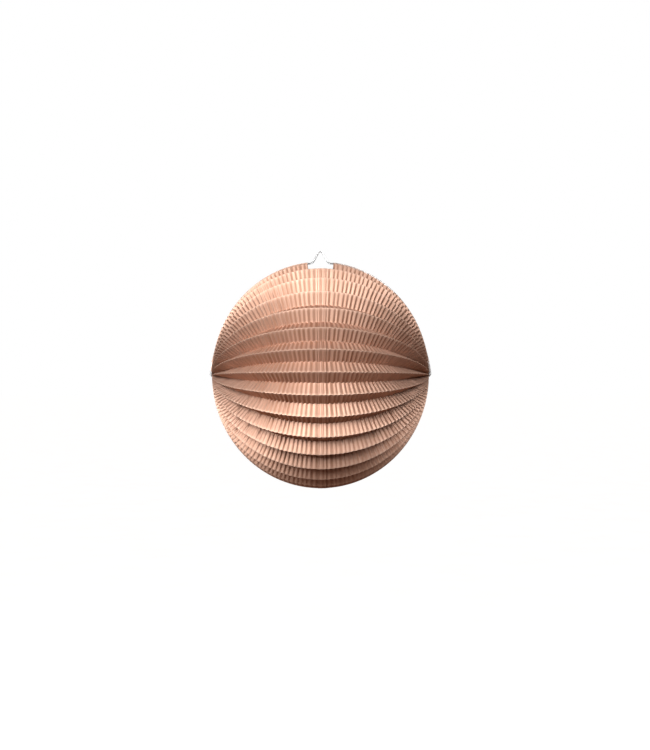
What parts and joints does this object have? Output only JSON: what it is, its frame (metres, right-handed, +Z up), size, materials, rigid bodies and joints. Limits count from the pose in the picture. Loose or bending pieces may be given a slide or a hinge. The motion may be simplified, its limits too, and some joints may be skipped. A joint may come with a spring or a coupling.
{
  "type": "paper lantern",
  "caption": "Round hanging concertina lantern of crimped rose-gold foil paper that opens like a fan on two wire bows, with a hanging hump on top and a small candle cup inside.",
  "frame": {"origin": "hanging point, under the tops of the two wire humps, where they rest on a hook", "axes": "+Z up; +X along the pole axis that the folds turn about, to the right seen from the front; -Y is the front"},
  "size_m": [0.245, 0.25, 0.2615],
  "materials": {
    "foil_paper": "satin",
    "steel_wire": "satin",
    "card": "matt",
    "tinplate": "satin"
  },
  "bodies": {
    "rear_frame": {"rear_bow": "steel_wire", "rear_hem": "foil_paper", "pole_washer_left": "card", "pole_washer_right": "card"},
    "front_frame": {"front_bow": "steel_wire", "front_hem": "foil_paper"},
    "fold_01": {"pleat_01": "foil_paper"},
    "fold_02": {"pleat_02": "foil_paper"},
    "fold_03": {"pleat_03": "foil_paper"},
    "fold_04": {"pleat_04": "foil_paper"},
    "fold_05": {"pleat_05": "foil_paper"},
    "fold_06": {"pleat_06": "foil_paper"},
    "fold_07": {"pleat_07": "foil_paper"},
    "fold_08": {"pleat_08": "foil_paper"},
    "fold_09": {"pleat_09": "foil_paper"},
    "fold_10": {"pleat_10": "foil_paper"},
    "fold_11": {"pleat_11": "foil_paper"},
    "fold_12": {"pleat_12": "foil_paper"},
    "fold_13": {"pleat_13": "foil_paper"},
    "fold_14": {"pleat_14": "foil_paper"},
    "fold_15": {"pleat_15": "foil_paper"},
    "fold_16": {"pleat_16": "foil_paper"},
    "fold_17": {"pleat_17": "foil_paper", "base_card": "card", "candle_plate": "tinplate", "candle_cup": "tinplate", "plate_rivets": "tinplate"},
    "fold_18": {"pleat_18": "foil_paper"},
    "fold_19": {"pleat_19": "foil_paper"},
    "fold_20": {"pleat_20": "foil_paper"},
    "fold_21": {"pleat_21": "foil_paper"},
    "fold_22": {"pleat_22": "foil_paper"},
    "fold_23": {"pleat_23": "foil_paper"},
    "fold_24": {"pleat_24": "foil_paper"},
    "fold_25": {"pleat_25": "foil_paper"},
    "fold_26": {"pleat_26": "foil_paper"},
    "fold_27": {"pleat_27": "foil_paper"},
    "fold_28": {"pleat_28": "foil_paper"},
    "fold_29": {"pleat_29": "foil_paper"},
    "fold_30": {"pleat_30": "foil_paper"},
    "fold_31": {"pleat_31": "foil_paper"},
    "fold_32": {"pleat_32": "foil_paper"},
    "fold_33": {"pleat_33": "foil_paper"}
  },
  "joints": [
    {"name": "fan_fold", "type": "hinge", "parent": "rear_frame", "child": "front_frame", "pos_m": [0, 0, -0.1358], "axis": [1, 0, 0], "range_deg": [0, 344.85]},
    {"name": "fold_01_turn", "type": "hinge", "parent": "rear_frame", "child": "fold_01", "pos_m": [0, 0, -0.1358], "axis": [1, 0, 0], "range_deg": [0, 340.12], "deforming": ["pleat_01"]},
    {"name": "fold_02_turn", "type": "hinge", "parent": "rear_frame", "child": "fold_02", "pos_m": [0, 0, -0.1358], "axis": [1, 0, 0], "range_deg": [0, 329.68], "deforming": ["pleat_02"]},
    {"name": "fold_03_turn", "type": "hinge", "parent": "rear_frame", "child": "fold_03", "pos_m": [0, 0, -0.1358], "axis": [1, 0, 0], "range_deg": [0, 319.23], "deforming": ["pleat_03"]},
    {"name": "fold_04_turn", "type": "hinge", "parent": "rear_frame", "child": "fold_04", "pos_m": [0, 0, -0.1358], "axis": [1, 0, 0], "range_deg": [0, 308.77], "deforming": ["pleat_04"]},
    {"name": "fold_05_turn", "type": "hinge", "parent": "rear_frame", "child": "fold_05", "pos_m": [0, 0, -0.1358], "axis": [1, 0, 0], "range_deg": [0, 298.32], "deforming": ["pleat_05"]},
    {"name": "fold_06_turn", "type": "hinge", "parent": "rear_frame", "child": "fold_06", "pos_m": [0, 0, -0.1358], "axis": [1, 0, 0], "range_deg": [0, 287.88], "deforming": ["pleat_06"]},
    {"name": "fold_07_turn", "type": "hinge", "parent": "rear_frame", "child": "fold_07", "pos_m": [0, 0, -0.1358], "axis": [1, 0, 0], "range_deg": [0, 277.43], "deforming": ["pleat_07"]},
    {"name": "fold_08_turn", "type": "hinge", "parent": "rear_frame", "child": "fold_08", "pos_m": [0, 0, -0.1358], "axis": [1, 0, 0], "range_deg": [0, 266.98], "deforming": ["pleat_08"]},
    {"name": "fold_09_turn", "type": "hinge", "parent": "rear_frame", "child": "fold_09", "pos_m": [0, 0, -0.1358], "axis": [1, 0, 0], "range_deg": [0, 256.52], "deforming": ["pleat_09"]},
    {"name": "fold_10_turn", "type": "hinge", "parent": "rear_frame", "child": "fold_10", "pos_m": [0, 0, -0.1358], "axis": [1, 0, 0], "range_deg": [0, 246.07], "deforming": ["pleat_10"]},
    {"name": "fold_11_turn", "type": "hinge", "parent": "rear_frame", "child": "fold_11", "pos_m": [0, 0, -0.1358], "axis": [1, 0, 0], "range_deg": [0, 235.62], "deforming": ["pleat_11"]},
    {"name": "fold_12_turn", "type": "hinge", "parent": "rear_frame", "child": "fold_12", "pos_m": [0, 0, -0.1358], "axis": [1, 0, 0], "range_deg": [0, 225.18], "deforming": ["pleat_12"]},
    {"name": "fold_13_turn", "type": "hinge", "parent": "rear_frame", "child": "fold_13", "pos_m": [0, 0, -0.1358], "axis": [1, 0, 0], "range_deg": [0, 214.72], "deforming": ["pleat_13"]},
    {"name": "fold_14_turn", "type": "hinge", "parent": "rear_frame", "child": "fold_14", "pos_m": [0, 0, -0.1358], "axis": [1, 0, 0], "range_deg": [0, 204.28], "deforming": ["pleat_14"]},
    {"name": "fold_15_turn", "type": "hinge", "parent": "rear_frame", "child": "fold_15", "pos_m": [0, 0, -0.1358], "axis": [1, 0, 0], "range_deg": [0, 193.82], "deforming": ["pleat_15"]},
    {"name": "fold_16_turn", "type": "hinge", "parent": "rear_frame", "child": "fold_16", "pos_m": [0, 0, -0.1358], "axis": [1, 0, 0], "range_deg": [0, 183.38], "deforming": ["pleat_16"]},
    {"name": "fold_17_turn", "type": "hinge", "parent": "rear_frame", "child": "fold_17", "pos_m": [0, 0, -0.1358], "axis": [1, 0, 0], "range_deg": [0, 172.93], "deforming": ["pleat_17"]},
    {"name": "fold_18_turn", "type": "hinge", "parent": "rear_frame", "child": "fold_18", "pos_m": [0, 0, -0.1358], "axis": [1, 0, 0], "range_deg": [0, 162.47], "deforming": ["pleat_18"]},
    {"name": "fold_19_turn", "type": "hinge", "parent": "rear_frame", "child": "fold_19", "pos_m": [0, 0, -0.1358], "axis": [1, 0, 0], "range_deg": [0, 152.03], "deforming": ["pleat_19"]},
    {"name": "fold_20_turn", "type": "hinge", "parent": "rear_frame", "child": "fold_20", "pos_m": [0, 0, -0.1358], "axis": [1, 0, 0], "range_deg": [0, 141.57], "deforming": ["pleat_20"]},
    {"name": "fold_21_turn", "type": "hinge", "parent": "rear_frame", "child": "fold_21", "pos_m": [0, 0, -0.1358], "axis": [1, 0, 0], "range_deg": [0, 131.12], "deforming": ["pleat_21"]},
    {"name": "fold_22_turn", "type": "hinge", "parent": "rear_frame", "child": "fold_22", "pos_m": [0, 0, -0.1358], "axis": [1, 0, 0], "range_deg": [0, 120.67], "deforming": ["pleat_22"]},
    {"name": "fold_23_turn", "type": "hinge", "parent": "rear_frame", "child": "fold_23", "pos_m": [0, 0, -0.1358], "axis": [1, 0, 0], "range_deg": [0, 110.22], "deforming": ["pleat_23"]},
    {"name": "fold_24_turn", "type": "hinge", "parent": "rear_frame", "child": "fold_24", "pos_m": [0, 0, -0.1358], "axis": [1, 0, 0], "range_deg": [0, 99.78], "deforming": ["pleat_24"]},
    {"name": "fold_25_turn", "type": "hinge", "parent": "rear_frame", "child": "fold_25", "pos_m": [0, 0, -0.1358], "axis": [1, 0, 0], "range_deg": [0, 89.33], "deforming": ["pleat_25"]},
    {"name": "fold_26_turn", "type": "hinge", "parent": "rear_frame", "child": "fold_26", "pos_m": [0, 0, -0.1358], "axis": [1, 0, 0], "range_deg": [0, 78.88], "deforming": ["pleat_26"]},
    {"name": "fold_27_turn", "type": "hinge", "parent": "rear_frame", "child": "fold_27", "pos_m": [0, 0, -0.1358], "axis": [1, 0, 0], "range_deg": [0, 68.42], "deforming": ["pleat_27"]},
    {"name": "fold_28_turn", "type": "hinge", "parent": "rear_frame", "child": "fold_28", "pos_m": [0, 0, -0.1358], "axis": [1, 0, 0], "range_deg": [0, 57.98], "deforming": ["pleat_28"]},
    {"name": "fold_29_turn", "type": "hinge", "parent": "rear_frame", "child": "fold_29", "pos_m": [0, 0, -0.1358], "axis": [1, 0, 0], "range_deg": [0, 47.52], "deforming": ["pleat_29"]},
    {"name": "fold_30_turn", "type": "hinge", "parent": "rear_frame", "child": "fold_30", "pos_m": [0, 0, -0.1358], "axis": [1, 0, 0], "range_deg": [0, 37.08], "deforming": ["pleat_30"]},
    {"name": "fold_31_turn", "type": "hinge", "parent": "rear_frame", "child": "fold_31", "pos_m": [0, 0, -0.1358], "axis": [1, 0, 0], "range_deg": [0, 26.62], "deforming": ["pleat_31"]},
    {"name": "fold_32_turn", "type": "hinge", "parent": "rear_frame", "child": "fold_32", "pos_m": [0, 0, -0.1358], "axis": [1, 0, 0], "range_deg": [0, 16.18], "deforming": ["pleat_32"]},
    {"name": "fold_33_turn", "type": "hinge", "parent": "rear_frame", "child": "fold_33", "pos_m": [0, 0, -0.1358], "axis": [1, 0, 0], "range_deg": [0, 5.72], "deforming": ["pleat_33"]}
  ],
  "couplings": [
    {"joint": "fold_01_turn", "follows": "fan_fold", "ratio": 0.98485},
    {"joint": "fold_02_turn", "follows": "fan_fold", "ratio": 0.95455},
    {"joint": "fold_03_turn", "follows": "fan_fold", "ratio": 0.92424},
    {"joint": "fold_04_turn", "follows": "fan_fold", "ratio": 0.89394},
    {"joint": "fold_05_turn", "follows": "fan_fold", "ratio": 0.86364},
    {"joint": "fold_06_turn", "follows": "fan_fold", "ratio": 0.83333},
    {"joint": "fold_07_turn", "follows": "fan_fold", "ratio": 0.80303},
    {"joint": "fold_08_turn", "follows": "fan_fold", "ratio": 0.77273},
    {"joint": "fold_09_turn", "follows": "fan_fold", "ratio": 0.74242},
    {"joint": "fold_10_turn", "follows": "fan_fold", "ratio": 0.71212},
    {"joint": "fold_11_turn", "follows": "fan_fold", "ratio": 0.68182},
    {"joint": "fold_12_turn", "follows": "fan_fold", "ratio": 0.65152},
    {"joint": "fold_13_turn", "follows": "fan_fold", "ratio": 0.62121},
    {"joint": "fold_14_turn", "follows": "fan_fold", "ratio": 0.59091},
    {"joint": "fold_15_turn", "follows": "fan_fold", "ratio": 0.56061},
    {"joint": "fold_16_turn", "follows": "fan_fold", "ratio": 0.5303},
    {"joint": "fold_17_turn", "follows": "fan_fold", "ratio": 0.5},
    {"joint": "fold_18_turn", "follows": "fan_fold", "ratio": 0.4697},
    {"joint": "fold_19_turn", "follows": "fan_fold", "ratio": 0.43939},
    {"joint": "fold_20_turn", "follows": "fan_fold", "ratio": 0.40909},
    {"joint": "fold_21_turn", "follows": "fan_fold", "ratio": 0.37879},
    {"joint": "fold_22_turn", "follows": "fan_fold", "ratio": 0.34848},
    {"joint": "fold_23_turn", "follows": "fan_fold", "ratio": 0.31818},
    {"joint": "fold_24_turn", "follows": "fan_fold", "ratio": 0.28788},
    {"joint": "fold_25_turn", "follows": "fan_fold", "ratio": 0.25758},
    {"joint": "fold_26_turn", "follows": "fan_fold", "ratio": 0.22727},
    {"joint": "fold_27_turn", "follows": "fan_fold", "ratio": 0.19697},
    {"joint": "fold_28_turn", "follows": "fan_fold", "ratio": 0.16667},
    {"joint": "fold_29_turn", "follows": "fan_fold", "ratio": 0.13636},
    {"joint": "fold_30_turn", "follows": "fan_fold", "ratio": 0.10606},
    {"joint": "fold_31_turn", "follows": "fan_fold", "ratio": 0.075758},
    {"joint": "fold_32_turn", "follows": "fan_fold", "ratio": 0.045455},
    {"joint": "fold_33_turn", "follows": "fan_fold", "ratio": 0.015152}
  ]
}
